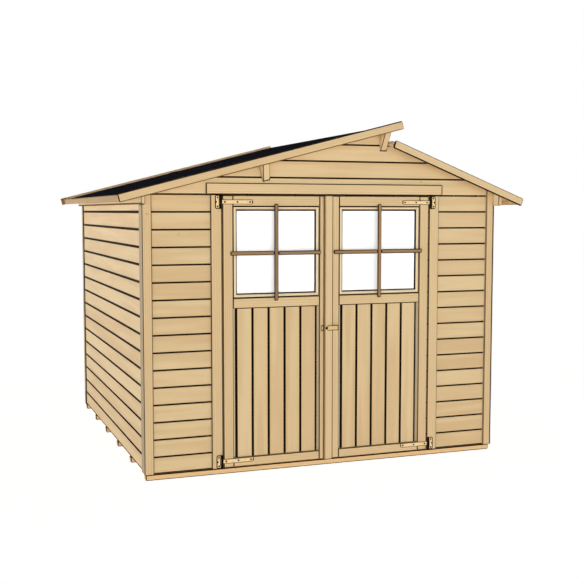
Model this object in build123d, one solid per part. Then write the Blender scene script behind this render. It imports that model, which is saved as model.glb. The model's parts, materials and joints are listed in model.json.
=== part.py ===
"""Wooden garden shed with an offset gable roof and glazed double doors.

Sizes are in millimetres.  While it is drawn, x runs from the outer face of the left corner
posts to the right, y from the face of the front boards to the back, and z up from the ground.
Every piece is then moved so that the origin is under the middle of the roof's outline.
"""
from build123d import *
from math import cos, radians, sin, tan
import os

# ---- plan of the walls -------------------------------------------------------------------
body_width = 2490.0        # over the corner posts
body_depth = 2490.0        # over the faces of the front and back boards
board_thickness = 19.0     # wall boards
trim_proud = 12.0          # posts, jambs and header stand this far in front of the boards
side_proud = 8.0           # posts stand this far outside the side boards
post_width = 60.0          # corner post, seen from the front
front_post_depth = 88.0    # corner post behind the face of the front boards
back_post_depth = 58.0     # corner post in front of the face of the back boards
stud_width = 44.0          # wall studs, along the wall
stud_depth = 28.0          # wall studs, into the room

# ---- floor -------------------------------------------------------------------------------
joist_height = 38.0
joist_width = 58.0
joist_count = 6
floor_thickness = 19.0

# ---- doorway and doors -------------------------------------------------------------------
doorway_width = 1470.0
doorway_head = 1798.0      # height of the header's lower edge above the ground
jamb_width = 74.0
header_height = 73.0
header_lap = 28.0          # header runs this far past each jamb
leaf_thickness = 40.0
leaf_side_gap = 5.0
leaf_top_gap = 6.0
leaf_bottom_gap = 5.0
meeting_gap = 7.0
meeting_offset = 36.5      # the leaves part this far left of the doorway's middle
hinge_stile_width = 68.0
meeting_stile_width = 70.0 # from the doorway's middle, on either leaf
top_rail_height = 68.0
middle_rail_height = 65.0
bottom_rail_height = 58.0
panel_height = 971.0       # boarded field between the bottom and the middle rail
panel_recess = 10.0
panel_thickness = 16.0
bead_width = 26.0
bead_recess = 6.0
bead_thickness = 14.0
back_bead_thickness = 12.0
glass_thickness = 4.0
glass_edge_gap = 3.0       # glass to the stiles and rails round it
strip_width = 55.0         # cover strip over the meeting of the leaves
strip_thickness = 15.0

# ---- door ironmongery --------------------------------------------------------------------
iron_thickness = 3.0
knuckle_radius = 6.0
hinge_pin_radius = 3.0
pin_clearance = 0.1
knuckle_gap = 0.5
hinge_pin_offset = 10.0    # pins stand this far to the jamb's side of the gap
hinge_plate_width = 32.0
hinge_plate_height = 88.0
strap_length = 214.0
strap_height = 30.0
hinge_end_margin = 3.0     # hinge plate to the head and the foot of the jamb
latch_height = 923.0       # middle of the latch above the ground
latch_bar_length = 80.0
latch_bar_height = 34.0
latch_foot_length = 20.0
latch_inset = 10.0         # end of the bar from the edge of the cover strip
keeper_width = 18.0
keeper_height = 40.0
keeper_inset = 2.0

# ---- roof --------------------------------------------------------------------------------
left_pitch = 14.55         # degrees
right_pitch = 21.1         # degrees
left_wall_top = 1804.6     # underside of the roof at the face of the left boards
right_wall_top = 1819.0    # underside of the roof at the face of the right boards
left_eave_run = 169.0      # down the slope from the face of the left boards
right_eave_run = 195.6     # down the slope from the face of the right boards
ridge_step = 95.9004       # the left underside above the right one, where they part
left_ridge_overhang = 80.3291   # left slope past the ridge purlin, up the slope
right_barge_gap = 13.3165  # right barge boards short of the ridge purlin's side
gable_overhang = 82.0      # purlins and deck past the front and the back boards
deck_thickness = 16.0
felt_thickness = 3.0
barge_height = 55.0
barge_thickness = 18.0
left_barge_rise = 17.0     # barge boards above the felt
right_barge_rise = 12.0
fascia_thickness = 16.0
fascia_height = 42.0
fascia_set_back = 24.0     # fascia from the square ends of the barge boards

# ---- purlins -----------------------------------------------------------------------------
purlin_thickness = 44.0
mid_purlin_height = 120.0
ridge_purlin_height = 127.0
mid_purlin_run = 777.0     # up the left slope from the face of the left boards
purlin_toe = 3.0           # the tapered end still projects this far at its foot
purlin_edge_radius = 12.0  # lower edge on the ridge's side
eave_purlin_thickness = 26.0
left_eave_purlin_foot = 1735.0
right_eave_purlin_foot = 1732.0
eave_purlin_radius = 12.0
notch_clearance = 0.5

# ---- derived lines -----------------------------------------------------------------------
left_face = side_proud
right_face = body_width - side_proud
floor_top = joist_height + floor_thickness
doorway_left = (body_width - doorway_width) / 2
doorway_right = doorway_left + doorway_width
roof_front = -gable_overhang
roof_back = body_depth + gable_overhang
felt_top = deck_thickness + felt_thickness
leaf_front = -trim_proud
leaf_foot = joist_height + leaf_bottom_gap
leaf_head = doorway_head - leaf_top_gap


def block(x0, x1, y0, y1, z0, z1):
    """A straight-sided timber between two corners."""
    size = (x1 - x0, y1 - y0, z1 - z0)
    return Pos(x0, y0, z0) * Box(*size, align=(Align.MIN, Align.MIN, Align.MIN))


def prism(points, y0, y1):
    """An outline of (x, z) points, drawn out from y0 to y1."""
    face = Plane.XZ.offset(-y1) * Polygon(*points, align=None)
    return extrude(face, amount=y1 - y0, dir=(0, -1, 0))


class Slope:
    """One side of the roof, measured from where its underside meets the wall's face."""

    def __init__(self, foot_x, foot_z, pitch, uphill, barge_rise):
        self.foot_x = foot_x
        self.foot_z = foot_z
        self.pitch = radians(pitch)
        self.uphill = uphill
        self.barge_top = felt_top + barge_rise
        self.barge_foot = self.barge_top - barge_height

    def point(self, run, rise):
        """The (x, z) point run up the slope and rise square off its underside."""
        x = self.foot_x + self.uphill * (run * cos(self.pitch) - rise * sin(self.pitch))
        z = self.foot_z + run * sin(self.pitch) + rise * cos(self.pitch)
        return (x, z)

    def underside(self, x):
        return self.foot_z + self.uphill * (x - self.foot_x) * tan(self.pitch)

    def barge_edge(self, x):
        """Height of the lower edge of the barge boards at the given x."""
        return self.underside(x) + self.barge_foot / cos(self.pitch)

    def run_at(self, x):
        """How far up the underside lies the given x."""
        return self.uphill * (x - self.foot_x) / cos(self.pitch)

    def slab(self, run0, run1, rise0, rise1, y0, y1):
        corners = [(run0, rise0), (run1, rise0), (run1, rise1), (run0, rise1)]
        return prism([self.point(*corner) for corner in corners], y0, y1)


left_slope = Slope(left_face, left_wall_top, left_pitch, 1, left_barge_rise)
right_slope = Slope(right_face, right_wall_top, right_pitch, -1, right_barge_rise)
# the ridge purlin's right side is where the two undersides are the ridge step apart
ridge_purlin_right = ((right_slope.underside(0) - left_slope.underside(0) + ridge_step)
                      / (tan(left_slope.pitch) + tan(right_slope.pitch)))
ridge_purlin_x = ridge_purlin_right - purlin_thickness


# ---- floor -------------------------------------------------------------------------------
def floor_joists():
    pitch = (body_depth - joist_width) / (joist_count - 1)
    joists = [block(left_face, right_face, n * pitch, n * pitch + joist_width, 0, joist_height)
              for n in range(joist_count)]
    return Compound(joists)


def floor_deck():
    """The floor between the walls, cut out round the four corner posts."""
    front = board_thickness + stud_depth
    deck = block(left_face + board_thickness, right_face - board_thickness,
                 front, body_depth - board_thickness, joist_height, floor_top)
    reach = post_width + notch_clearance
    for x0, x1 in ((0, reach), (body_width - reach, body_width)):
        deck -= block(x0, x1, 0, front_post_depth + notch_clearance, joist_height, floor_top)
        deck -= block(x0, x1, body_depth - back_post_depth - notch_clearance, body_depth,
                      joist_height, floor_top)
    return deck


# ---- purlins -----------------------------------------------------------------------------
def taper_cutter(front, foot, head):
    """What is sawn off below the projecting end of a purlin."""
    tip = abs(front)
    outline = [(-tip, foot), (-purlin_toe, foot), (-tip, head)]
    face = Plane.YZ * Polygon(*outline, align=None)
    return extrude(face, amount=body_width)


def tapered_ends(purlin, foot, head):
    """Saw the ends of a purlin from the barge board's lower edge down to the toe."""
    front_cut = taper_cutter(roof_front, foot, head)
    back_cut = mirror(front_cut, about=Plane.XZ.offset(-body_depth / 2))
    return purlin - front_cut - back_cut


def ease_lower_edge(purlin):
    """Round the lower edge on the ridge's side."""
    lower = purlin.edges().filter_by(Axis.Y).sort_by(Axis.Z)[:2]
    return fillet(max(lower, key=lambda edge: edge.center().X), purlin_edge_radius)


def left_mid_purlin():
    far_run = mid_purlin_run + purlin_thickness
    purlin = left_slope.slab(mid_purlin_run, far_run, -mid_purlin_height, 0,
                             roof_front, roof_back)
    foot = left_slope.point(mid_purlin_run, -mid_purlin_height)[1]
    head = left_slope.point(far_run, left_slope.barge_foot)[1]
    return tapered_ends(ease_lower_edge(purlin), foot, head)


def ridge_purlin():
    foot = left_slope.underside(ridge_purlin_x) - ridge_purlin_height
    outline = [(ridge_purlin_x, foot), (ridge_purlin_right, foot),
               (ridge_purlin_right, left_slope.underside(ridge_purlin_right)),
               (ridge_purlin_x, left_slope.underside(ridge_purlin_x))]
    purlin = prism(outline, roof_front, roof_back)
    return tapered_ends(ease_lower_edge(purlin), foot,
                        left_slope.barge_edge(ridge_purlin_right))


def eave_purlin(slope, foot):
    """The board fixed outside a side wall, under the low edge of the roof."""
    outer = slope.foot_x - slope.uphill * eave_purlin_thickness
    outline = [(slope.foot_x, foot), (outer, foot),
               (outer, slope.underside(outer)), (slope.foot_x, slope.foot_z)]
    purlin = prism(outline, roof_front, roof_back)
    outer_edge = purlin.edges().filter_by(Axis.Y).group_by(Axis.Z)[0]
    outer_edge = outer_edge.sort_by(Axis.X)[0 if slope.uphill > 0 else -1]
    return fillet(outer_edge, eave_purlin_radius)


def purlin_notches(y0, y1):
    """The slots in a gable that the mid and the ridge purlin pass through."""
    mid = left_slope.slab(mid_purlin_run - notch_clearance,
                          mid_purlin_run + purlin_thickness + notch_clearance,
                          -mid_purlin_height - notch_clearance, mid_purlin_height, y0, y1)
    foot = left_slope.underside(ridge_purlin_x) - ridge_purlin_height - notch_clearance
    ridge = block(ridge_purlin_x - notch_clearance, ridge_purlin_right + notch_clearance,
                  y0, y1, foot, foot + 2 * ridge_purlin_height)
    return mid + ridge


# ---- walls -------------------------------------------------------------------------------
def gable_outline(x0, x1, foot):
    """A wall's outline between x0 and x1, up to the underside of both slopes."""
    return [(x0, foot), (x1, foot), (x1, right_slope.underside(x1)),
            (ridge_purlin_right, right_slope.underside(ridge_purlin_right)),
            (ridge_purlin_right, left_slope.underside(ridge_purlin_right)),
            (x0, left_slope.underside(x0))]


def gable_slab(foot, y0, y1):
    slab = prism(gable_outline(post_width, body_width - post_width, foot), y0, y1)
    return slab - purlin_notches(y0, y1)


def front_wall_left():
    return block(post_width, doorway_left, 0, board_thickness, joist_height, doorway_head)


def front_wall_right():
    return block(doorway_right, body_width - post_width, 0, board_thickness,
                 joist_height, doorway_head)


def front_gable():
    return gable_slab(doorway_head, 0, board_thickness)


def back_wall():
    return gable_slab(joist_height, body_depth - board_thickness, body_depth)


def side_wall(slope):
    inner = slope.foot_x + slope.uphill * board_thickness
    outline = [(slope.foot_x, joist_height), (inner, joist_height),
               (inner, slope.underside(inner)), (slope.foot_x, slope.foot_z)]
    return prism(outline, front_post_depth, body_depth - back_post_depth)


def corner_post(slope, foot, y0, y1):
    """A post up to the roof, let in behind the eave purlin."""
    outer = slope.foot_x - slope.uphill * side_proud
    inner = outer + slope.uphill * post_width
    outline = [(outer, joist_height), (inner, joist_height),
               (inner, slope.underside(inner)), (outer, slope.underside(outer))]
    post = prism(outline, y0, y1)
    seat = foot - notch_clearance
    xs = sorted((slope.foot_x, slope.foot_x - slope.uphill * 2 * side_proud))
    return post - block(xs[0], xs[1], y0, y1, seat, body_depth)


def corner_posts(y0, y1):
    return Compound([corner_post(left_slope, left_eave_purlin_foot, y0, y1),
                     corner_post(right_slope, right_eave_purlin_foot, y0, y1)])


def wall_studs():
    """The uprights inside the walls, clear of each other."""
    studs = []
    joist_pitch = (body_depth - joist_width) / (joist_count - 1)
    side_centres = [joist_width / 2 + n * joist_pitch for n in range(1, joist_count - 1)]
    side_centres = [front_post_depth + stud_width / 2] + side_centres
    side_centres.append(body_depth - back_post_depth - stud_width / 2)
    for slope in (left_slope, right_slope):
        near = slope.foot_x + slope.uphill * board_thickness
        far = near + slope.uphill * stud_depth
        for y in side_centres:
            outline = [(near, floor_top), (far, floor_top),
                       (far, slope.underside(far)), (near, slope.underside(near))]
            studs.append(prism(outline, y - stud_width / 2, y + stud_width / 2))
    back_near = body_depth - board_thickness
    back_span = body_width - 2 * post_width - stud_width
    back_count = joist_count - 1
    for n in range(1, back_count):
        x = post_width + stud_width / 2 + n * back_span / back_count
        slope = left_slope if x < ridge_purlin_x else right_slope
        x0, x1 = x - stud_width / 2, x + stud_width / 2
        outline = [(x0, floor_top), (x1, floor_top),
                   (x1, slope.underside(x1)), (x0, slope.underside(x0))]
        studs.append(prism(outline, back_near - stud_depth, back_near))
    for x0 in (doorway_left - stud_width, doorway_right):
        studs.append(block(x0, x0 + stud_width, board_thickness, board_thickness + stud_depth,
                           joist_height, doorway_head))
    return Compound(studs)


def door_jamb(x0):
    return block(x0, x0 + jamb_width, -trim_proud, 0, joist_height, doorway_head)


def door_header():
    lap = jamb_width + header_lap
    return block(doorway_left - lap, doorway_right + lap, -trim_proud, 0,
                 doorway_head, doorway_head + header_height)


# ---- roof --------------------------------------------------------------------------------
def roof_layer(slope, eave_run, top_run, rise0, rise1):
    low = -eave_run + fascia_set_back + fascia_thickness
    return slope.slab(low, top_run, rise0, rise1, roof_front, roof_back)


def barge_board(slope, eave_run, top_run, y0):
    return slope.slab(-eave_run, top_run, slope.barge_foot, slope.barge_top,
                      y0, y0 + barge_thickness)


def eave_fascia(slope, eave_run):
    low = -eave_run + fascia_set_back
    return slope.slab(low, low + fascia_thickness, slope.barge_foot,
                      slope.barge_foot + fascia_height, roof_front, roof_back)


left_deck_top = left_slope.run_at(ridge_purlin_right) + left_ridge_overhang
right_deck_top = right_slope.run_at(ridge_purlin_right + notch_clearance)
right_barge_top = right_slope.run_at(ridge_purlin_right) - right_barge_gap


# ---- hinges and latch --------------------------------------------------------------------
hinge_y = leaf_front - knuckle_radius
left_hinge_x = doorway_left + leaf_side_gap / 2 - hinge_pin_offset
right_hinge_x = doorway_right - leaf_side_gap / 2 + hinge_pin_offset
hinge_heights = (joist_height + hinge_end_margin + hinge_plate_height / 2,
                 doorway_head - hinge_end_margin - hinge_plate_height / 2)


def knuckle(x, z0, z1, bore_radius=0.0):
    tube = Pos(x, hinge_y, (z0 + z1) / 2) * Cylinder(knuckle_radius, z1 - z0)
    if bore_radius:
        tube -= Pos(x, hinge_y, (z0 + z1) / 2) * Cylinder(bore_radius, z1 - z0)
    return tube


def iron_plate(x0, x1, z0, z1, radius, round_corners):
    """A flat plate on the face of the joinery with its chosen corners rounded."""
    y1 = leaf_front
    plate = block(x0, x1, y1 - iron_thickness, y1, z0, z1)
    edges = plate.edges().filter_by(Axis.Y)
    middle = (x0 + x1) / 2
    if round_corners == "left":
        edges = edges.filter_by(lambda edge: edge.center().X < middle)
    elif round_corners == "right":
        edges = edges.filter_by(lambda edge: edge.center().X > middle)
    return fillet(edges, radius)


def jamb_hinge_plate(x, z, outward):
    """The fixed half of a hinge: plate, two knuckles and the pin."""
    half = hinge_plate_height / 2
    inner = x + outward * (knuckle_radius + 1)
    outer = x + outward * (knuckle_radius + hinge_plate_width)
    corners = "left" if outward < 0 else "right"
    plate = iron_plate(min(inner, outer), max(inner, outer), z - half, z + half, 12, corners)
    bore_half = strap_height / 2 + knuckle_gap
    for z0, z1 in ((z - half, z - bore_half), (z + bore_half, z + half)):
        plate += knuckle(x, z0, z1)
        xs = sorted((x, inner))
        plate += block(xs[0], xs[1], leaf_front - iron_thickness, leaf_front, z0, z1)
    plate += Pos(x, hinge_y, z) * Cylinder(hinge_pin_radius, hinge_plate_height)
    return plate


def hinge_strap(x, z, inward):
    """The moving half of a hinge: a long strap with a rounded tip and its own knuckle."""
    half = strap_height / 2
    tip = x + inward * strap_length
    corners = "right" if inward > 0 else "left"
    strap = iron_plate(min(x, tip), max(x, tip), z - half, z + half, half * 0.8, corners)
    strap += knuckle(x, z - half, z + half)
    bore = Pos(x, hinge_y, z) * Cylinder(hinge_pin_radius + pin_clearance, strap_height)
    return strap - bore


def hinge_plates(x, outward):
    return [jamb_hinge_plate(x, z, outward) for z in hinge_heights]


def hinge_straps(x, inward):
    return Compound([hinge_strap(x, z, inward) for z in hinge_heights])


# ---- door leaves -------------------------------------------------------------------------
doorway_middle = (doorway_left + doorway_right) / 2
meeting_x = doorway_middle - meeting_offset
left_leaf = (doorway_left + leaf_side_gap, meeting_x - meeting_gap / 2)
right_leaf = (meeting_x + meeting_gap / 2, doorway_right - leaf_side_gap)
left_field = (left_leaf[0] + hinge_stile_width, doorway_middle - meeting_stile_width)
right_field = (doorway_middle + meeting_stile_width, right_leaf[1] - hinge_stile_width)
leaf_back = leaf_front + leaf_thickness
panel_foot = leaf_foot + bottom_rail_height
panel_head = panel_foot + panel_height
window_foot = panel_head + middle_rail_height
window_head = leaf_head - top_rail_height


def door_stiles(leaf, field):
    return Compound([block(leaf[0], field[0], leaf_front, leaf_back, leaf_foot, leaf_head),
                     block(field[1], leaf[1], leaf_front, leaf_back, leaf_foot, leaf_head)])


def door_rails(field):
    levels = ((leaf_foot, panel_foot), (panel_head, window_foot), (window_head, leaf_head))
    return Compound([block(field[0], field[1], leaf_front, leaf_back, z0, z1)
                     for z0, z1 in levels])


def door_panel(field):
    front = leaf_front + panel_recess
    return block(field[0], field[1], front, front + panel_thickness, panel_foot, panel_head)


def bead_frame(field, y0, y1):
    outer = block(field[0], field[1], y0, y1, window_foot, window_head)
    return outer - block(field[0] + bead_width, field[1] - bead_width, y0, y1,
                         window_foot + bead_width, window_head - bead_width)


glass_front = leaf_front + bead_recess + bead_thickness
glass_back = glass_front + glass_thickness


def door_beads(field):
    return Compound([bead_frame(field, glass_front - bead_thickness, glass_front),
                     bead_frame(field, glass_back, glass_back + back_bead_thickness)])


def door_glass(field):
    return block(field[0] + glass_edge_gap, field[1] - glass_edge_gap, glass_front, glass_back,
                 window_foot + glass_edge_gap, window_head - glass_edge_gap)


def cover_strip():
    return block(right_leaf[0], right_leaf[0] + strip_width, leaf_front - strip_thickness,
                 leaf_front, leaf_foot, leaf_head)


def latch_bar():
    """A bar over the cover strip, on a foot that stands on the right leaf."""
    x0 = right_leaf[0] + latch_inset
    x1 = x0 + latch_bar_length
    face = leaf_front - strip_thickness
    half = latch_bar_height / 2
    bar = block(x0, x1, face - iron_thickness, face, latch_height - half, latch_height + half)
    tip = bar.edges().filter_by(Axis.Y).filter_by(lambda edge: edge.center().X < x0 + 1)
    bar = fillet(tip, half * 0.8)
    foot = block(x1 - latch_foot_length, x1, face, leaf_front,
                 latch_height - half, latch_height + half)
    return bar + foot


def latch_keeper():
    x1 = left_leaf[1] - keeper_inset
    half = keeper_height / 2
    return block(x1 - keeper_width, x1, leaf_front - iron_thickness, leaf_front,
                 latch_height - half, latch_height + half)


# ---- the pieces --------------------------------------------------------------------------
pieces = {
    "floor_joists": floor_joists(),
    "floor_deck": floor_deck(),
    "front_wall_left": front_wall_left(),
    "front_wall_right": front_wall_right(),
    "front_gable": front_gable(),
    "back_wall": back_wall(),
    "left_wall": side_wall(left_slope),
    "right_wall": side_wall(right_slope),
    "front_corner_posts": corner_posts(-trim_proud, front_post_depth),
    "back_corner_posts": corner_posts(body_depth - back_post_depth, body_depth + trim_proud),
    "wall_studs": wall_studs(),
    "left_door_jamb": door_jamb(doorway_left - jamb_width),
    "right_door_jamb": door_jamb(doorway_right),
    "door_header": door_header(),
    "left_eave_purlin": eave_purlin(left_slope, left_eave_purlin_foot),
    "left_mid_purlin": left_mid_purlin(),
    "ridge_purlin": ridge_purlin(),
    "right_eave_purlin": eave_purlin(right_slope, right_eave_purlin_foot),
    "left_roof_deck": roof_layer(left_slope, left_eave_run, left_deck_top, 0, deck_thickness),
    "right_roof_deck": roof_layer(right_slope, right_eave_run, right_deck_top,
                                  0, deck_thickness),
    "left_roof_felt": roof_layer(left_slope, left_eave_run, left_deck_top,
                                 deck_thickness, felt_top),
    "right_roof_felt": roof_layer(right_slope, right_eave_run, right_deck_top,
                                  deck_thickness, felt_top),
    "left_eave_fascia": eave_fascia(left_slope, left_eave_run),
    "right_eave_fascia": eave_fascia(right_slope, right_eave_run),
    "hinge_plates": Compound(hinge_plates(left_hinge_x, -1) + hinge_plates(right_hinge_x, 1)),
    "cover_strip": cover_strip(),
    "latch_bar": latch_bar(),
    "latch_keeper": latch_keeper(),
}
for end, y0 in (("front", roof_front - barge_thickness), ("back", roof_back)):
    pieces[end + "_left_barge_board"] = barge_board(left_slope, left_eave_run,
                                                    left_deck_top, y0)
    pieces[end + "_right_barge_board"] = barge_board(right_slope, right_eave_run,
                                                     right_barge_top, y0)
for side, leaf, field in (("left", left_leaf, left_field), ("right", right_leaf, right_field)):
    pieces[side + "_door_stiles"] = door_stiles(leaf, field)
    pieces[side + "_door_rails"] = door_rails(field)
    pieces[side + "_door_panel"] = door_panel(field)
    pieces[side + "_door_beads"] = door_beads(field)
    pieces[side + "_door_glass"] = door_glass(field)
pieces["left_door_straps"] = hinge_straps(left_hinge_x, 1)
pieces["right_door_straps"] = hinge_straps(right_hinge_x, -1)

# ---- move the origin under the middle of the roof and write the files ---------------------
roof_left = left_slope.point(-left_eave_run, left_slope.barge_top)[0]
roof_right = right_slope.point(-right_eave_run, right_slope.barge_top)[0]
to_origin = Pos(-(roof_left + roof_right) / 2, -body_depth / 2, 0)
os.makedirs("parts", exist_ok=True)
for name, shape in pieces.items():
    export_step(to_origin * shape, "parts/" + name + ".step")
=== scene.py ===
"""Looks of a wooden garden shed with an offset gable roof and glazed double doors.

Metres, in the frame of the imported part: +X to the right, +Y to the back, +Z up, with the
ground at z = 0.  Timbers take their places from the part's own boxes.
"""

import json
import math
import random

import bmesh
import bpy
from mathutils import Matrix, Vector


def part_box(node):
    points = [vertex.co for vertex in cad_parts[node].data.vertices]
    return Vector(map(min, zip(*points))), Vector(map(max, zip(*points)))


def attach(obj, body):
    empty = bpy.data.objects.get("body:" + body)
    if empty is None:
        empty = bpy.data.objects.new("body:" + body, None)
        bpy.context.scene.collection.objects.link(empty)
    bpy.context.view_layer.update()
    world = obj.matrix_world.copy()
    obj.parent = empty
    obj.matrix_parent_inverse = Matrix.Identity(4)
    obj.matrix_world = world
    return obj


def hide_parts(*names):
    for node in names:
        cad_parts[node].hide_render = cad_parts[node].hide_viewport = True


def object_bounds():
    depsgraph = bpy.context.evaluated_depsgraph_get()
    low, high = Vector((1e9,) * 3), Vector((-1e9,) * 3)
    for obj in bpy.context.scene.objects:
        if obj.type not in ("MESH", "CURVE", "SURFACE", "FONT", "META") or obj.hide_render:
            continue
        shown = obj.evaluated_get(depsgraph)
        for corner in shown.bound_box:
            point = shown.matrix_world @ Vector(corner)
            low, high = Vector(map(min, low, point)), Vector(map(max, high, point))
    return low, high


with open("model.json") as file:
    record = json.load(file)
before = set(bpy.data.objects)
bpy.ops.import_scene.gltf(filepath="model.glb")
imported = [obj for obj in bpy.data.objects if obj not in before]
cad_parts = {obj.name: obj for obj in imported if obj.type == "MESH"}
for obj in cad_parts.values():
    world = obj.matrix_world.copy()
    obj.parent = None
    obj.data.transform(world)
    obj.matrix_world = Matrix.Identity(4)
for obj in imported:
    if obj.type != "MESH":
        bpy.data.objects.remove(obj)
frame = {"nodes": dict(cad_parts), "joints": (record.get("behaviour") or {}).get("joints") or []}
cad_low, cad_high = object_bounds()
MM = 0.001
ACROSS, DEEP, UP = Vector((1, 0, 0)), Vector((0, 1, 0)), Vector((0, 0, 1))
draw = random.Random(21)

# a timber's finishes, by their place in the list that its mesh is built with
FACE, CORNER, JOINT, OTHER, END = range(5)

# ---- sizes of what is added ---------------------------------------------------------------
BOARD_PITCH = 110 * MM       # tongued and grooved cladding, board to board
FRONT_GAP = 7 * MM           # open joint between the faces of two boards, front and back
SIDE_GAP = 12.5 * MM         # the same on the side walls
DOOR_GAP = 12 * MM           # the same on the doors
BOARD_ARRIS = 2.2 * MM       # planed-off corner of a board
TONGUE_DEPTH = 7 * MM        # face of the tongue behind the face of the boards
TONGUE_THICKNESS = 6 * MM
TONGUE_GRIP = 3 * MM         # how far the tongue goes into the next board
GROOVE_PLAY = 1 * MM         # room in the groove past the tongue
FOOT_BAND = 5 * MM          # dark band painted along the foot of a wall
SIDE_FOOT_BAND = 9 * MM
BOARD_END_GAP = 2.5 * MM     # board end to the post or jamb beside it
NOTCH_GAP = 4 * MM           # board to a purlin that passes through it
LEAST_ROW = 0.01             # a row lower than this share of a board is left out
DECK_JOINT = 1 * MM          # closed joint between boards of the floor and the roof
DECK_ARRIS = 1.5 * MM
POST_PLAY = 1 * MM           # floor board to a corner post

POST_ARRIS = 5 * MM          # planed-off corners of the heavier timbers
BACK_POST_ARRIS = 7.5 * MM
HEADER_ARRIS = 6.5 * MM
BARGE_TOP_ARRIS = 7.5 * MM   # left barge board, along its top
BARGE_ARRIS = 5.5 * MM       # and its other corners
RIGHT_BARGE_TOP_ARRIS = 5 * MM
RIGHT_BARGE_ARRIS = 8 * MM
PURLIN_ARRIS = 4 * MM
EAVE_ARRIS = 3.5 * MM
JOIST_ARRIS = 6 * MM
STILE_ARRIS = 4.5 * MM
RAIL_ARRIS = 3.8 * MM
STRIP_ARRIS = 1.5 * MM       # cover strip, at the meeting line of the leaves
STRIP_BACK_ARRIS = 7.5 * MM  # and along its other side

POST_EDGE = 11 * MM          # dark band painted along the right-hand edge of the right front post
HEADER_EDGE = 10 * MM        # and of the header
POST_STEP = 12 * MM          # dark band painted beside the left rear post, in the step next to the wall boards
REAR_TIP = 42 * MM           # bare tips of the rear barge boards, along the ground
FASCIA_JOINT = 50 * MM       # where the two lengths of a fascia butt, behind the middle
MEETING_REACH = 8 * MM       # stile corners that are pale, either side of the meeting line

DOOR_BOARDS = 5
REBATE_WIDTH = 14 * MM       # rebate, painted grey as shade, between a stile and the first gap of the boards
REBATE_DEPTH = 5 * MM
REBATE_ARRIS = 1 * MM
DOOR_TONGUE_DEPTH = 9 * MM
DOOR_END_GAP = 3.5 * MM      # board end to the rail above or below it
BEAD_WIDTH = 30 * MM
BAR_WIDTH = 28 * MM          # glazing bars
BAR_THICKNESS = 12 * MM
BAR_ARRIS = 5.5 * MM
BAR_REACH = {"left": (309 * MM, 309 * MM),   # level bars, either side of the middle of
             "right": (330 * MM, 320 * MM)}  # the upright one
BAR_LAP_DOWN = 52 * MM       # upright bar past the bottom and the top of the beads' opening
BAR_LAP_UP = 46 * MM
BAR_OFFSET = -7 * MM         # where the bars cross, from the middle of the pane
BAR_RISE = -6 * MM

FELT_SHEET = 1000 * MM       # width of the roll
FELT_LAP = 75 * MM
FELT_RAMP = FELT_LAP / 3     # where a sheet comes down from the one below it
NAIL_SPACE = 150 * MM
NAIL_EDGE = 28 * MM          # nails from the edge of a sheet
NAIL_SIZE = (6 * MM, 1.2 * MM)   # radius and height of a head

PLATE_RIM = 6.5 * MM         # dark rim painted round the hinge plates
STRAP_RIM = 3.5 * MM         # dark rim of the straps
TIP_RIM = 4.5 * MM           # added to it at the tip of a strap
LATCH_RIM = 4.5 * MM
RIM_STEP = 0.4 * MM          # how far the rim is worn back behind the face
METAL_FACE = 300 * MM ** 2   # a face of the hinges or the latch that is no part of a barrel
METAL_THICKNESS = 3 * MM     # plates and straps
PLATE_HALF_HEIGHT = 44 * MM
PLATE_SCREWS = ((21 * MM, 28 * MM), (30 * MM, 0), (21 * MM, -28 * MM))   # from the pin
STRAP_SCREWS = (27 * MM, 110 * MM, 194 * MM)
SCREW_SIZE = (6.5 * MM, 2 * MM)
RIVET_SIZE = (9 * MM, 6 * MM)
KEEPER_SCREW_SIZE = (3.2 * MM, 1.3 * MM)
KEEPER_SCREW_EDGE = 8 * MM   # from the top and the foot of the keeper

FLOOR_REACH = 60.0           # studio floor, from the middle to its edges

# least cosines between a face's normal and a direction, for it to count as looking that way
SQUARE_ON, NEARLY, LEANING, BARELY = 0.99, 0.9, 0.5, 0.2
# degrees: a corner that turns by more is planed off; the same where another corner has been;
# an edge that turns by more is shaded crisp; one that turns by less is no edge
CORNER_TURN, NEXT_CORNER_TURN, CRISP_TURN, FLAT_TURN = 35, 60, 24, 0.5
WELD, ON_PLANE = 1e-5, 1e-6  # points closer than this are one, or lie on a saw's plane


# ---- shader helpers -----------------------------------------------------------------------
def linear(hex_colour):
    """An sRGB hex colour as the linear colour that a shader socket takes."""
    def channel(pair):
        value = int(pair, 16) / 255
        return value / 12.92 if value <= 0.04045 else ((value + 0.055) / 1.055) ** 2.4
    return tuple(channel(hex_colour[n:n + 2]) for n in (1, 3, 5)) + (1.0,)


def add(material, kind, values=None, links=None, stops=(), **settings):
    """Adds a shader node: its settings, its sockets' values, what is linked into them, and
    the (place, hex colour) stops where it is a colour ramp."""
    tree = material.node_tree
    made = tree.nodes.new("ShaderNode" + kind)
    for name, value in settings.items():
        setattr(made, name, value)
    for socket, value in (values or {}).items():
        made.inputs[socket].default_value = value
    for socket, source in (links or {}).items():
        tree.links.new(source, made.inputs[socket])
    for n, (place, colour) in enumerate(stops):
        made.color_ramp.elements[n].position = place
        made.color_ramp.elements[n].color = linear(colour)
    return made


def new_material(name):
    material = bpy.data.materials.new(name)
    material.use_nodes = True
    material.node_tree.nodes.clear()
    return material


def mottled(material, space, noise, light, dark):
    """A noise over a space and the colour that it makes of two, as sockets."""
    pattern = add(material, "TexNoise", noise, {"Vector": space}).outputs["Fac"]
    ramp = add(material, "ValToRGB", links={"Fac": pattern}, stops=[(0.3, light), (0.7, dark)])
    return pattern, ramp.outputs["Color"]


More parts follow.
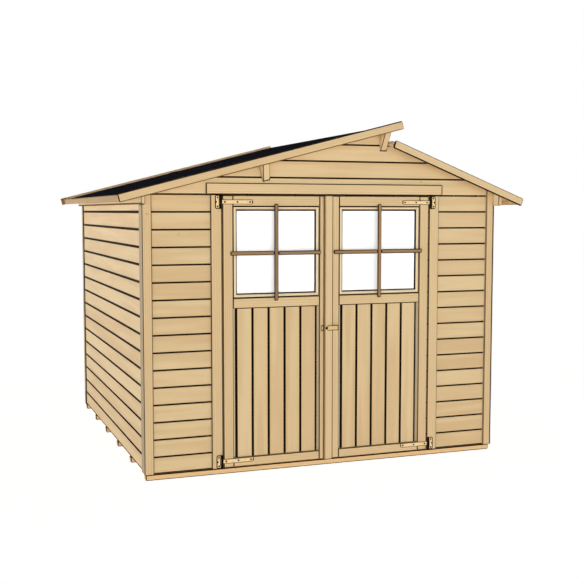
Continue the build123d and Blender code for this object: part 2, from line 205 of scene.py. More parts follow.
def surface(material, colour, values, sheen=None, relief=None):
    """The shader and the output.  Sheen is (socket, roughness at its 0, roughness at its 1),
    and relief is (socket, strength, height of the bumps)."""
    links = {"Base Color": colour}
    if sheen:
        pattern, low, high = sheen
        rough = add(material, "MapRange", {"To Min": low, "To Max": high}, {"Value": pattern})
        links["Roughness"] = rough.outputs["Result"]
    if relief:
        pattern, strength, height = relief
        raised = add(material, "Bump", {"Strength": strength, "Distance": height},
                     {"Height": pattern})
        links["Normal"] = raised.outputs["Normal"]
    shader = add(material, "BsdfPrincipled", values, links)
    add(material, "OutputMaterial", links={"Surface": shader.outputs["BSDF"]})
    return material


def planed_softwood(name, light, dark, knots=0.3):
    """Planed spruce: even pale tan, faint growth rings and a few small knots.

    Rings are about 14 mm apart on the face, coarser than the real 2 to 4 mm, so that they
    show at the size of a whole wall; a finer streak of 2 mm lies over them.
    """
    material = new_material(name)
    along = add(material, "Attribute", attribute_name="grain").outputs["Vector"]
    tone = add(material, "Attribute", attribute_name="tone").outputs["Fac"]
    ring_space = add(material, "Mapping", {"Scale": (1.6, 22.4, 22.4)}, {"Vector": along})
    rings = add(material, "TexWave", {"Scale": 1.0, "Distortion": 7.0, "Detail": 2.0,
                                      "Detail Scale": 0.55, "Detail Roughness": 0.5},
                {"Vector": ring_space.outputs["Vector"]},
                wave_type="BANDS", bands_direction="Y", wave_profile="SIN")
    streak_space = add(material, "Mapping", {"Scale": (9.0, 480.0, 480.0)}, {"Vector": along})
    streak = add(material, "TexNoise", {"Scale": 1.0, "Detail": 3.0, "Roughness": 0.6},
                 {"Vector": streak_space.outputs["Vector"]})
    cloud_space = add(material, "Mapping", {"Scale": (2.2, 9.0, 9.0)}, {"Vector": along})
    cloud = add(material, "TexNoise", {"Scale": 1.0, "Detail": 2.0},
                {"Vector": cloud_space.outputs["Vector"]})
    figure = add(material, "Math", {1: 0.5}, {0: rings.outputs["Fac"]}, operation="MULTIPLY")
    for share, source in ((0.3, streak.outputs["Fac"]), (0.45, cloud.outputs["Fac"]),
                          (0.16, tone)):
        figure = add(material, "Math", {1: share}, {0: source, 2: figure.outputs["Value"]},
                     operation="MULTIPLY_ADD")
    wood = add(material, "ValToRGB", links={"Fac": figure.outputs["Value"]},
               stops=[(0.07, light), (1.0, dark)])

    # knots: one in about a quarter of the cells of 0.6 m by 0.11 m, dark out to 6 mm from
    # its middle and gone at 13 mm
    cell = Vector((0.6, 0.11, 0.11))
    knot_space = add(material, "Mapping", {"Scale": tuple(1 / side for side in cell)},
                     {"Vector": along})
    cells = add(material, "TexVoronoi", {"Scale": 1.0, "Randomness": 0.8},
                {"Vector": knot_space.outputs["Vector"]}, voronoi_dimensions="3D")
    offset = add(material, "VectorMath", links={0: knot_space.outputs["Vector"],
                                                1: cells.outputs["Position"]},
                 operation="SUBTRACT")
    offset = add(material, "VectorMath", {1: tuple(cell)}, {0: offset.outputs["Vector"]},
                 operation="MULTIPLY")
    distance = add(material, "VectorMath", links={0: offset.outputs["Vector"]},
                   operation="LENGTH")
    pick = add(material, "SeparateColor", links={"Color": cells.outputs["Color"]})
    chosen = add(material, "Math", {1: 0.72}, {0: pick.outputs["Red"]},
                 operation="GREATER_THAN")
    disc = add(material, "MapRange", {"From Min": 6 * MM, "From Max": 13 * MM,
                                      "To Min": knots, "To Max": 0.0},
               {"Value": distance.outputs["Value"]})
    knot = add(material, "Math", links={0: disc.outputs["Result"], 1: chosen.outputs["Value"]},
               operation="MULTIPLY")
    colour = add(material, "Mix", {"B": linear("#A9794C")},
                 {"Factor": knot.outputs["Value"], "A": wood.outputs["Color"]},
                 data_type="RGBA")
    return surface(material, colour.outputs["Result"], {"Specular IOR Level": 0.25},
                   (streak.outputs["Fac"], 0.58, 0.74),
                   (figure.outputs["Value"], 0.35, 0.3 * MM))


def sawn_edge(name, light, dark):
    """Dark bands, matt, dull and uneven: painted shade in the joints, and painted dark lines
    along the corners and round the rims.
    """
    material = new_material(name)
    along = add(material, "Attribute", attribute_name="grain").outputs["Vector"]
    space = add(material, "Mapping", {"Scale": (12.0, 160.0, 160.0)}, {"Vector": along})
    patch, colour = mottled(material, space.outputs["Vector"],
                            {"Scale": 1.0, "Detail": 3.0}, light, dark)
    return surface(material, colour, {"Roughness": 0.8, "Specular IOR Level": 0.05},
                   relief=(patch, 0.3, 0.3 * MM))


def bitumen_felt(name):
    """Mineral roofing felt: near-black blue-grey, matt, with a fine slate grit."""
    material = new_material(name)
    place = add(material, "TexCoord").outputs["Object"]
    grit = add(material, "TexNoise", {"Scale": 420.0, "Detail": 2.0, "Roughness": 0.7},
               {"Vector": place})
    blotch = add(material, "TexNoise", {"Scale": 5.0, "Detail": 3.0}, {"Vector": place})
    mixed = add(material, "Math", {1: 0.5}, {0: grit.outputs["Fac"]}, operation="MULTIPLY")
    mixed = add(material, "Math", {1: 0.5}, {0: blotch.outputs["Fac"],
                                             2: mixed.outputs["Value"]},
                operation="MULTIPLY_ADD")
    colour = add(material, "ValToRGB", links={"Fac": mixed.outputs["Value"]},
                 stops=[(0.35, "#1E1E27"), (0.68, "#2B2B36")])
    return surface(material, colour.outputs["Color"], {"Specular IOR Level": 0.0},
                   (grit.outputs["Fac"], 0.78, 0.95), (grit.outputs["Fac"], 0.5, 0.6 * MM))


def opal_acrylic(name):
    """Opal acrylic panes, cast: milk-white, with a soft gloss and a very slight waviness.

    Their emission is painted light: it lifts the panes to white where the bars and beads shade
    them.
    """
    material = new_material(name)
    place = add(material, "TexCoord").outputs["Object"]
    wave, colour = mottled(material, place, {"Scale": 9.0, "Detail": 1.0}, "#FBFBFA",
                           "#FFFFFF")
    return surface(material, colour, {"IOR": 1.49, "Emission Color": linear("#FFFFFF"),
                                      "Emission Strength": 0.12},
                   (wave, 0.16, 0.24), (wave, 0.05, 0.5 * MM))


def passivated_zinc(name, light, dark, barrel_lines=()):
    """Yellow-passivated zinc on pressed steel: warm tan metal, satin, mottled by the bath.

    The barrels of the hinges, within 7 mm of their pins, are painted dark, as the shade of
    their round knuckles.
    """
    material = new_material(name)
    place = add(material, "TexCoord").outputs["Object"]
    bath, colour = mottled(material, place, {"Scale": 70.0, "Detail": 4.0, "Roughness": 0.65},
                           light, dark)
    split = add(material, "SeparateXYZ", links={"Vector": place})
    # the knuckles round the pins are painted dark, as their shade
    for x in barrel_lines:
        aside = add(material, "Math", {1: x}, {0: split.outputs["X"]}, operation="SUBTRACT")
        aside = add(material, "Math", links={0: aside.outputs["Value"]}, operation="ABSOLUTE")
        knuckle_shade = add(material, "MapRange", {"From Min": 5.5 * MM, "From Max": 7 * MM,
                                           "To Min": 1.0, "To Max": 0.0},
                    {"Value": aside.outputs["Value"]})
        colour = add(material, "Mix", {"B": linear("#0E0A07")},
                     {"Factor": knuckle_shade.outputs["Result"], "A": colour},
                     data_type="RGBA").outputs["Result"]
    return surface(material, colour, {"Metallic": 1.0}, (bath, 0.5, 0.66),
                   (bath, 0.15, 0.2 * MM))


def pale_floor(name):
    """Pale studio floor, matt, lit evenly from below like a light table."""
    material = new_material(name)
    place = add(material, "TexCoord").outputs["Object"]
    colour = mottled(material, place, {"Scale": 0.6, "Detail": 2.0}, "#B4B4B3", "#B8B8B8")[1]
    return surface(material, colour, {"Roughness": 0.9, "Specular IOR Level": 0.0,
                                      "Emission Color": linear("#FFFFFF"),
                                      "Emission Strength": 0.87})


left_hinge_x, right_hinge_x = (joint["pos_m"][0] for joint in frame["joints"])

# one softwood throughout: pale tan, browner where it is oiled or bare to the weather. Paler
# copies are painted light: on purlins, beads, roof boards and the rear barge boards' inner
# side. Darker and greyer copies are painted shade: on a fascia, the top splays, the posts'
# sides and the door rebates
SPRUCE = planed_softwood("planed_spruce", "#DFC597", "#D1B182")
PAINTED_LIGHT_SPRUCE = planed_softwood("spruce_painted_light", "#F3DFB9", "#EAD2A6", knots=0.2)
JOIST_SPRUCE = planed_softwood("planed_spruce_joists", "#E9C48F", "#DBB17B", knots=0.2)
FASCIA_PAINTED_SHADE = planed_softwood("spruce_fascias_painted_shade", "#B4925F", "#A58350", knots=0.2)
ROOF_SPRUCE_PAINTED_LIGHT = planed_softwood("spruce_roof_boards_painted_light", "#E4C7A2", "#D6B68E", knots=0.2)
REAR_SPRUCE_PAINTED_LIGHT = planed_softwood("spruce_rear_barge_painted_light", "#F4CFA0", "#E7C08F", knots=0.2)
BAR_SPRUCE = planed_softwood("oiled_spruce_bars", "#A2835B", "#8C6D48", knots=0.2)
SPLAY_PAINTED_SHADE = planed_softwood("spruce_splays_painted_shade", "#B08A5A", "#9C784A", knots=0.0)
BARE_END = planed_softwood("oiled_spruce_ends", "#A97945", "#906539", knots=0.0)
POST_SIDE_PAINTED_SHADE = planed_softwood("spruce_post_sides_painted_shade", "#B39C7B", "#A48D6C", knots=0.0)
RECESS_PAINTED_SHADE = planed_softwood("spruce_rebates_painted_shade", "#CBBA99", "#BCAA88", knots=0.0)

# painted dark: shade in the joints, and dark lines along the corners and round the rims of
# the ironmongery
ARRIS = sawn_edge("arris_painted_dark", "#3A240B", "#241605")
SOFT_ARRIS = sawn_edge("soft_arris_painted_dark", "#7A5A30", "#5E431F")
SHADOW = sawn_edge("joint_painted_shade", "#2C1B08", "#1A1004")
DOOR_SHADOW = sawn_edge("door_joint_painted_shade", "#241C10", "#171209")
IRON_EDGE = sawn_edge("iron_edge_painted_dark", "#150F0A", "#0C0805")

FELT = bitumen_felt("bitumen_felt")
OPAL = opal_acrylic("opal_acrylic")
HINGE_ZINC = passivated_zinc("yellow_passivated_zinc", "#EBD2A3", "#DCC091",
                             (left_hinge_x, right_hinge_x))
LATCH_ZINC = passivated_zinc("yellow_passivated_zinc_latch", "#DBC090", "#CCAE7C")
SCREW_ZINC = passivated_zinc("dulled_zinc_screws", "#1C140C", "#100B06")
NAIL_ZINC = passivated_zinc("dulled_zinc_nails", "#55534F", "#3B3A38")
TIMBER_FINISH = (SPRUCE, ARRIS, SHADOW)


# ---- timbers ------------------------------------------------------------------------------
def new_figure():
    """Where in the log a timber was cut, and how pale it is."""
    return Vector([draw.uniform(-40, 40) for _ in range(3)]), draw.uniform(-1, 1)


class Joinery:
    """Timbers gathered into one mesh, each with its own run of grain and tone."""

    def __init__(self):
        self.points, self.faces, self.finishes = [], [], []
        self.grain, self.tone = [], []

    def add(self, timber, along, across=None, figure=None):
        """Takes in a timber whose fibres run along one direction, and uses it up."""
        along = Vector(along).normalized()
        across = Vector(across) if across else (DEEP if abs(along.y) < LEANING else UP)
        through = along.cross(across).normalized()
        across = through.cross(along).normalized()
        start, shade = figure or new_figure()
        first = len(self.points)
        timber.verts.index_update()
        for vert in timber.verts:
            self.points.append(vert.co.copy())
            spot = Vector((vert.co.dot(along), vert.co.dot(through), vert.co.dot(across)))
            self.grain.extend(start + spot)
            self.tone.append(shade)
        for face in timber.faces:
            self.faces.append([first + vert.index for vert in face.verts])
            self.finishes.append(face.material_index)
        timber.free()

    def build(self, name, body, finishes=TIMBER_FINISH, replaces=(), slot="spruce"):
        mesh = bpy.data.meshes.new(name)
        mesh.from_pydata(self.points, [], self.faces)
        mesh.attributes.new("grain", "FLOAT_VECTOR", "POINT").data.foreach_set(
            "vector", self.grain)
        mesh.attributes.new("tone", "FLOAT", "POINT").data.foreach_set("value", self.tone)
        for finish in finishes:
            mesh.materials.append(finish)
        mesh.polygons.foreach_set("material_index", self.finishes)
        mesh.polygons.foreach_set("use_smooth", [True] * len(mesh.polygons))
        mesh.set_sharp_from_angle(angle=math.radians(CRISP_TURN))
        made = bpy.data.objects.new(name, mesh)
        bpy.context.scene.collection.objects.link(made)
        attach(made, body)
        if replaces:
            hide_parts(*replaces)


def loft(near, far, finishes=()):
    """A closed solid between two outlines; each long side may have its own finish."""
    timber = bmesh.new()
    near, far = ([timber.verts.new(point) for point in ring] for ring in (near, far))
    timber.faces.new(near)
    timber.faces.new(list(reversed(far)))
    for n, finish in enumerate(finishes or [FACE] * len(near)):
        after = (n + 1) % len(near)
        side = timber.faces.new((near[n], far[n], far[after], near[after]))
        side.material_index = finish
    bmesh.ops.recalc_face_normals(timber, faces=timber.faces)
    return timber


def prism(outline, along, length, origin=Vector(), finishes=()):
    """A closed solid: an outline of points, drawn out along a direction."""
    near = [origin + Vector(point) for point in outline]
    return loft(near, [point + along * length for point in near], finishes)


def bar(low, high, finish=FACE):
    """A square-edged timber between two corners."""
    (x0, y0, z0), (x1, y1, z1) = low, high
    corners = [(x0, y0, z0), (x0, y1, z0), (x0, y1, z1), (x0, y0, z1)]
    return prism(corners, ACROSS, x1 - x0, finishes=[finish] * 4)


def ease(timber, width, least=CORNER_TURN, beside=None):
    """Planes off every corner that turns by more than least; the flats get their own finish.

    With beside, only the front corner of the side that looks that way is planed off.
    """
    sharp = [edge for edge in timber.edges
             if len(edge.link_faces) == 2 and edge.calc_face_angle() > math.radians(least)]
    if beside:
        sharp = [edge for edge in sharp if all(
            any(face.normal.dot(way) > SQUARE_ON for face in edge.link_faces)
            for way in (beside, -DEEP))]
    bmesh.ops.bevel(timber, geom=sharp, offset=width, offset_type="OFFSET", segments=1,
                    profile=0.5, affect="EDGES", clamp_overlap=True, material=CORNER)
    timber.normal_update()
    return timber


def part(timber, point, outward, **options):
    """Parts the faces of a timber along a plane."""
    geometry = timber.verts[:] + timber.edges[:] + timber.faces[:]
    bmesh.ops.bisect_plane(timber, geom=geometry, dist=ON_PLANE, plane_co=point,
                           plane_no=outward, **options)


def saw(timber, point, outward):
    """Saws off what lies beyond a plane and closes the cut; says whether anything is left."""
    part(timber, point, outward, clear_outer=True)
    rim = [edge for edge in timber.edges if edge.is_boundary]
    if rim:
        bmesh.ops.holes_fill(timber, edges=rim, sides=0)
        bmesh.ops.recalc_face_normals(timber, faces=timber.faces)
    return bool(timber.faces)


def parts_of(node):
    """The separate solids of a part's node, each cleaned to its true corners."""
    whole = bmesh.new()
    whole.from_mesh(frame["nodes"][node].data)
    bmesh.ops.remove_doubles(whole, verts=whole.verts, dist=WELD)
    bmesh.ops.dissolve_limit(whole, angle_limit=math.radians(FLAT_TURN), verts=whole.verts,
                             edges=whole.edges)
    seen = set()
    for seed in whole.verts:
        if seed in seen:
            continue
        seen.add(seed)
        found, waiting = [], [seed]
        while waiting:
            vert = waiting.pop()
            found.append(vert)
            for edge in vert.link_edges:
                other = edge.other_vert(vert)
                if other not in seen:
                    seen.add(other)
                    waiting.append(other)
        timber = bmesh.new()
        copies = {vert: timber.verts.new(vert.co) for vert in found}
        for face in whole.faces:
            if face.verts[0] in copies:
                timber.faces.new([copies[vert] for vert in face.verts])
        bmesh.ops.recalc_face_normals(timber, faces=timber.faces)
        yield timber
    whole.free()


def longest_way(timber):
    """The direction of a straight timber: its longest edge."""
    edge = max(timber.edges, key=lambda side: side.calc_length())
    return (edge.verts[1].co - edge.verts[0].co).normalized()


def eased_node(node, width, finishes=TIMBER_FINISH, paint=None, butt=None, first=None,
               mark=None, body="shed"):
    """A node's timbers with their corners planed off, in place of the node.

    paint(face, way) gives a face another finish, or None.  A timber may be in two lengths
    that butt at a depth, and the front corner of the side that looks one way may have its
    own width: first is that (width, way).  Faces are parted where a finish changes, at the
    place along X in mark.
    """
    gathered = Joinery()
    for whole in parts_of(node):
        way = longest_way(whole)
        lengths = [whole]
        if butt is not None:
            lengths.append(whole.copy())
            saw(lengths[0], DEEP * butt, DEEP)
            saw(lengths[1], DEEP * butt, -DEEP)
        for timber in lengths:
            if mark is not None:
                part(timber, ACROSS * mark, ACROSS)
            if first:
                ease(timber, first[0], beside=first[1])
            ease(timber, width, NEXT_CORNER_TURN if first else CORNER_TURN)
            for face in timber.faces:
                finish = paint(face, way) if paint else None
                if finish is not None:
                    face.material_index = finish
            gathered.add(timber, way)
    gathered.build(node + "_eased", body, finishes, (node,))


# ---- cladding -----------------------------------------------------------------------------
def board_section(thickness, gap, depth, has_groove, has_tongue, foot_band=0.0):
    """A tongued and grooved board's section, as (depth from its face, height, finish of the
    side that starts there) points."""
    low, high = gap / 2, BOARD_PITCH - gap / 2
    back = depth + TONGUE_THICKNESS
    root, tip = low + TONGUE_GRIP + GROOVE_PLAY, high + gap + TONGUE_GRIP
    # the sides of the groove and of the tongue take the joint finish: painted shade
    section = [(BOARD_ARRIS, low, JOINT)]
    if has_groove:
        section += [(depth, low, JOINT), (depth, root, JOINT), (back, root, JOINT),
                    (back, low, JOINT)]
    section += [(thickness, low, FACE), (thickness, high, FACE)]
    if has_tongue:
        section += [(back, high, JOINT), (back, tip, JOINT), (depth, tip, JOINT),
                    (depth, high, JOINT)]
    section += [(BOARD_ARRIS, high, CORNER), (0, high - BOARD_ARRIS, FACE)]
    # a dark band painted along the foot of the lowest board
    if foot_band:
        section.append((0, low + BOARD_ARRIS + foot_band, CORNER))
    return section + [(0, low + BOARD_ARRIS, CORNER)]


def cladding_board(origin, along, length, inward, rise, section):
    """One board, its section drawn out along the wall."""
    return prism([inward * depth + rise * height for depth, height, finish in section],
                 along, length, origin, [finish for depth, height, finish in section])


def clad_wall(node, origin, along, length, inward, rows, thickness, gap, shapes, foot=0,
              foot_band=FOOT_BAND):
    """Rows of boards in place of a wall; shapes(top) gives the cuts of each piece of a row."""
    wall = Joinery()
    for row in range(foot, rows):
        figure = new_figure()
        section = board_section(thickness, gap, TONGUE_DEPTH, row > 0, row < rows - 1,
                                0.0 if row else foot_band)
        board = cladding_board(origin + UP * row * BOARD_PITCH, along, length, inward, UP,
                               section)
        for cuts in shapes(origin.z + (row + 1) * BOARD_PITCH):
            piece = board.copy()
            if all([saw(piece, point, outward) for point, outward in cuts]):
                wall.add(piece, along, UP, figure)
        board.free()
    wall.build(node + "_boards", "shed", replaces=(node,))


def underside(node):
    """A point on the underside of a roof deck and its upward normal, as a saw cut."""
    lowest = min(frame["nodes"][node].data.polygons, key=lambda face: face.normal.z)
    return lowest.center.copy(), -lowest.normal


meeting_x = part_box("left_door_stiles")[1].x
rear_tip_x = cad_high.x - REAR_TIP
left_cut = underside("left_roof_deck")
right_cut = underside("right_roof_deck")


def round_purlin(node, way, up):
    """The foot of a purlin and the cuts that leave room for it: left, right and below."""
    points = [vert.co for vert in frame["nodes"][node].data.vertices]
    low = min(points, key=lambda point: point.dot(way)) - way * NOTCH_GAP
    high = max(points, key=lambda point: point.dot(way)) + way * NOTCH_GAP
    foot = min(points, key=lambda point: point.dot(up)) - up * NOTCH_GAP
    return foot.z, [[(low, way)], [(high, -way)], [(low, -way), (high, way), (foot, up)]]


mid_foot, mid_cuts = round_purlin("left_mid_purlin", -DEEP.cross(left_cut[1]), left_cut[1])
ridge_foot, ridge_cuts = round_purlin("ridge_purlin", ACROSS, UP)


def gable_shapes(top):
    """The cuts of the pieces that a gable's board comes in, round the two inner purlins."""
    if top < ridge_foot:
        pieces = [[left_cut, right_cut]]
    else:
        beside_left, beside_right, below = ridge_cuts
        pieces = [beside_left + [left_cut], beside_right + [right_cut], below]
    if top < mid_foot:
        return pieces
    return [piece + cuts for piece in pieces for cuts in mid_cuts]


def make_walls():
    """Level boards on the walls and gables, sawn off under the roof."""
    wall_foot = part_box("front_wall_left")[0].z
    for node in ("front_wall_left", "front_wall_right", "front_gable", "back_wall"):
        low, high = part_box(node)
        first = round((low.z - wall_foot) / BOARD_PITCH)
        rows = math.ceil((high.z - wall_foot) / BOARD_PITCH - LEAST_ROW)
        is_back = node == "back_wall"
        start = Vector((low.x + BOARD_END_GAP, high.y if is_back else low.y, wall_foot))
        shapes = (lambda top: [[]]) if node.startswith("front_wall") else gable_shapes
        clad_wall(node, start, ACROSS, high.x - low.x - 2 * BOARD_END_GAP,
                  -DEEP if is_back else DEEP, rows, high.y - low.y, FRONT_GAP, shapes, first)
    for node, inward, cut in (("left_wall", ACROSS, left_cut),
                              ("right_wall", -ACROSS, right_cut)):
        low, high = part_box(node)
        start = Vector((low.x if inward.x > 0 else high.x, low.y + BOARD_END_GAP, low.z))
        rows = math.ceil((high.z - low.z) / BOARD_PITCH)
        clad_wall(node, start, DEEP, high.y - low.y - 2 * BOARD_END_GAP, inward, rows,
                  high.x - low.x, SIDE_GAP, lambda top: [[cut]], foot_band=SIDE_FOOT_BAND)


def paint_edge(x, side=None):
    """A dark band is painted along the right-hand edge of a face, beyond x."""
    def paint(face, way):
        if side is not None and abs(face.normal.x) > NEARLY:
            return side
        return CORNER if face.calc_center_median().x > x else None
    return paint


def paint_sides(face, way):
    """Its sides have a finish of their own: painted light on purlins, painted shade on posts."""
    return OTHER if abs(face.normal.x) > NEARLY else None


def paint_step(x):
    """A dark band is painted in the step beside the ends of the wall boards, up to x."""
    def paint(face, way):
        is_step = face.normal.y < -LEANING and face.calc_center_median().x < x
        return CORNER if is_step else paint_sides(face, way)
    return paint


def paint_eave(face, way):
    """An eave purlin's rounded lower corner is painted shade, and its ends are less pale."""
    if abs(face.normal.dot(way)) > NEARLY:
        return END
    is_round = face.normal.z < -BARELY and abs(face.normal.x) > BARELY
    return OTHER if is_round else None


def paint_barge(lower):
    """Its sawn ends are painted dark, and its lower corners a finish of their own: painted
    shade.
    """
    def paint(face, way):
        if abs(face.normal.dot(way)) > NEARLY:
            return CORNER
        is_lower = face.material_index == CORNER and face.normal.z < -LEANING
        return lower if is_lower else None
    return paint


def paint_rear_barge(face, way):
    """Its ends and the tips at the eaves are bare, and the side towards the roof has painted
    light.
    """
    is_tip = abs(face.calc_center_median().x) > rear_tip_x
    if is_tip or abs(face.normal.dot(way)) > NEARLY:
        return END
    return OTHER if face.normal.y < -LEANING else None


def paint_strip(face, way):
    """Its left side is as pale as its face, and only the corner beside it is dark."""
    if face.normal.x < -NEARLY:
        return FACE
    return OTHER if face.normal.x < -LEANING else None


def paint_meeting_stile(face, way):
    """The planed-off corners beside the meeting line of the leaves are as pale as the face."""
    is_meeting = abs(face.calc_center_median().x - meeting_x) < MEETING_REACH
    return FACE if is_meeting else None


def make_frame():
    """Posts, studs, jambs, joists, purlins and the boards along the roof's edges."""
    # the posts' sides are painted grey, as shade
    post_finish = TIMBER_FINISH + (POST_SIDE_PAINTED_SHADE,)
    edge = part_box("front_corner_posts")[1].x - POST_EDGE
    eased_node("front_corner_posts", POST_ARRIS, post_finish, paint_edge(edge, side=OTHER),
               mark=edge)
    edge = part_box("back_corner_posts")[0].x + POST_STEP
    eased_node("back_corner_posts", BACK_POST_ARRIS, post_finish, paint_step(edge), mark=edge)
    for node, width in (("wall_studs", PURLIN_ARRIS), ("left_door_jamb", POST_ARRIS),
                        ("right_door_jamb", POST_ARRIS)):
        eased_node(node, width)
    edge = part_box("door_header")[1].x - HEADER_EDGE
    eased_node("door_header", HEADER_ARRIS, paint=paint_edge(edge), mark=edge)
    eased_node("floor_joists", JOIST_ARRIS, (JOIST_SPRUCE, ARRIS))
    # the sides of the inner purlins, and the whole of the eave purlins, are painted lighter, as
    # light
    for node in ("left_mid_purlin", "ridge_purlin"):
        eased_node(node, PURLIN_ARRIS, TIMBER_FINISH + (PAINTED_LIGHT_SPRUCE,), paint_sides)
    for node in ("left_eave_purlin", "right_eave_purlin"):
        eased_node(node, PURLIN_ARRIS, (PAINTED_LIGHT_SPRUCE, ARRIS, SHADOW, SOFT_ARRIS, SPRUCE),
                   paint_eave)
    eased_node("front_left_barge_board", BARGE_ARRIS, TIMBER_FINISH + (SOFT_ARRIS,),
               paint_barge(OTHER), first=(BARGE_TOP_ARRIS, left_cut[1]))
    eased_node("front_right_barge_board", RIGHT_BARGE_ARRIS, (SPRUCE, ARRIS, DOOR_SHADOW),
               paint_barge(JOINT), first=(RIGHT_BARGE_TOP_ARRIS, right_cut[1]))
    for node, tip in (("back_left_barge_board", -rear_tip_x),
                      ("back_right_barge_board", rear_tip_x)):
        eased_node(node, EAVE_ARRIS, (SPRUCE, SOFT_ARRIS, SHADOW, REAR_SPRUCE_PAINTED_LIGHT, BARE_END),
                   paint_rear_barge, mark=tip)
    # the left fascia is painted darker, as shade; the right one lighter, as light
    for node, timber in (("left_eave_fascia", FASCIA_PAINTED_SHADE),
                         ("right_eave_fascia", PAINTED_LIGHT_SPRUCE)):
        eased_node(node, EAVE_ARRIS, (timber, BAR_SPRUCE, SHADOW), butt=FASCIA_JOINT)


def make_floor():
    """Boards across the joists, cut round the corner posts."""
    low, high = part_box("floor_deck")
    front_low, front_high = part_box("front_corner_posts")
    back_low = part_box("back_corner_posts")[0]
    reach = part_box("front_wall_left")[0].x - front_low.x + POST_PLAY
    boards = Joinery()
    for n in range(math.ceil((high.x - low.x) / BOARD_PITCH)):
        x0 = low.x + n * BOARD_PITCH
        x1 = min(x0 + BOARD_PITCH, high.x)
        y0, y1 = low.y, high.y
        if x0 < front_low.x + reach or x1 > front_high.x - reach:
            y0 = max(y0, front_high.y + POST_PLAY)
            y1 = min(y1, back_low.y - POST_PLAY)
        plank = bar((x0 + DECK_JOINT / 2, y0, low.z), (x1 - DECK_JOINT / 2, y1, high.z))
        boards.add(ease(plank, DECK_ARRIS), DEEP)
    boards.build("floor_deck_boards", "shed", replaces=("floor_deck",))


def nail_line(gathered, start, way, length, outward):
    """Flat-headed nails along a straight line."""
    count = max(2, round(length / NAIL_SPACE))
    for n in range(count + 1):
        head(gathered, start + way * (length * n / count), *NAIL_SIZE, outward)


def make_roof():
    """Deck boards laid from the eaves to the ridge, with lapped sheets of felt over them."""
    for side in ("left", "right"):
        node = side + "_roof_deck"
        low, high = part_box(node)
        up = underside(node)[1]
        section = sorted({(round(vert.co.x, 6), round(vert.co.z, 6))
                          for vert in frame["nodes"][node].data.vertices})
        middle = sum((Vector(corner) for corner in section), Vector((0, 0))) / len(section)
        section.sort(key=lambda spot: math.atan2(spot[1] - middle.y, spot[0] - middle.x))
        count = round((high.y - low.y) / BOARD_PITCH)
        pitch = (high.y - low.y) / count
        boards = Joinery()
        for n in range(count):
            y = low.y + n * pitch + DECK_JOINT / 2
            board = prism([(x, y, z) for x, z in section], DEEP, pitch - DECK_JOINT)
            boards.add(ease(board, DECK_ARRIS), DEEP.cross(up), DEEP)
        # the roof boards are a paler, pinker copy of the spruce: painted light on their
        # underside, which lies in shade under the eaves
        boards.build(node + "_boards", "shed", (ROOF_SPRUCE_PAINTED_LIGHT, ARRIS, SHADOW), replaces=(node,))
        lay_felt(side, up)


def lay_felt(side, up):
    """Sheets of felt along the roof, each lapped over the one below and nailed there."""
    node = side + "_roof_felt"
    rise = DEEP.cross(up)
    rise = rise if rise.z > 0 else -rise
    points = [vert.co for vert in frame["nodes"][node].data.vertices]
    start = min(points, key=lambda point: (round(point.dot(up), 5), point.dot(rise), point.y))
    length = max(point.dot(rise) for point in points) - start.dot(rise)
    breadth = max(point.y for point in points) - start.y
    thick = max(point.dot(up) for point in points) - start.dot(up)
    sheets, nails = Joinery(), Joinery()
    bottom = 0.0
    while bottom < length - FELT_LAP:
        top = min(bottom + FELT_SHEET, length)
        if bottom:
            flat = bottom + FELT_LAP
            outline = [(bottom, thick), (flat, thick), (flat + FELT_RAMP, 0), (top, 0),
                       (top, thick), (flat + FELT_RAMP, thick), (flat, 2 * thick),
                       (bottom, 2 * thick)]
        else:
            outline = [(bottom, 0), (top, 0), (top, thick), (bottom, thick)]
        sheet = prism([rise * along + up * over for along, over in outline], DEEP, breadth,
                      start)
        sheets.add(sheet, DEEP)
        over = thick * (2 if bottom else 1)
        nail_line(nails, start + rise * (bottom + NAIL_EDGE) + up * over + DEEP * NAIL_EDGE,
                  DEEP, breadth - 2 * NAIL_EDGE, up)
        bottom += FELT_SHEET - FELT_LAP
    for y in (NAIL_EDGE, breadth - NAIL_EDGE):
        nail_line(nails, start + rise * NAIL_EDGE * 3 + up * thick + DEEP * y, rise,
                  length - NAIL_EDGE * 4, up)
    sheets.build(side + "_felt_sheets", "shed", (FELT,), (node,), "felt")
    nails.build(side + "_felt_nails", "shed", (NAIL_ZINC,), slot="zinc_steel")


def make_leaf(side):
    """The eased frame of a leaf, its boards, the beads round its pane and the glazing bars."""
    body = side + "_door"
    eased_node(side + "_door_stiles", STILE_ARRIS, paint=paint_meeting_stile, body=body)
    eased_node(side + "_door_rails", RAIL_ARRIS, body=body)
    make_door_boards(side, body)
    make_beads(side, body)
    make_glazing_bars(side, body)


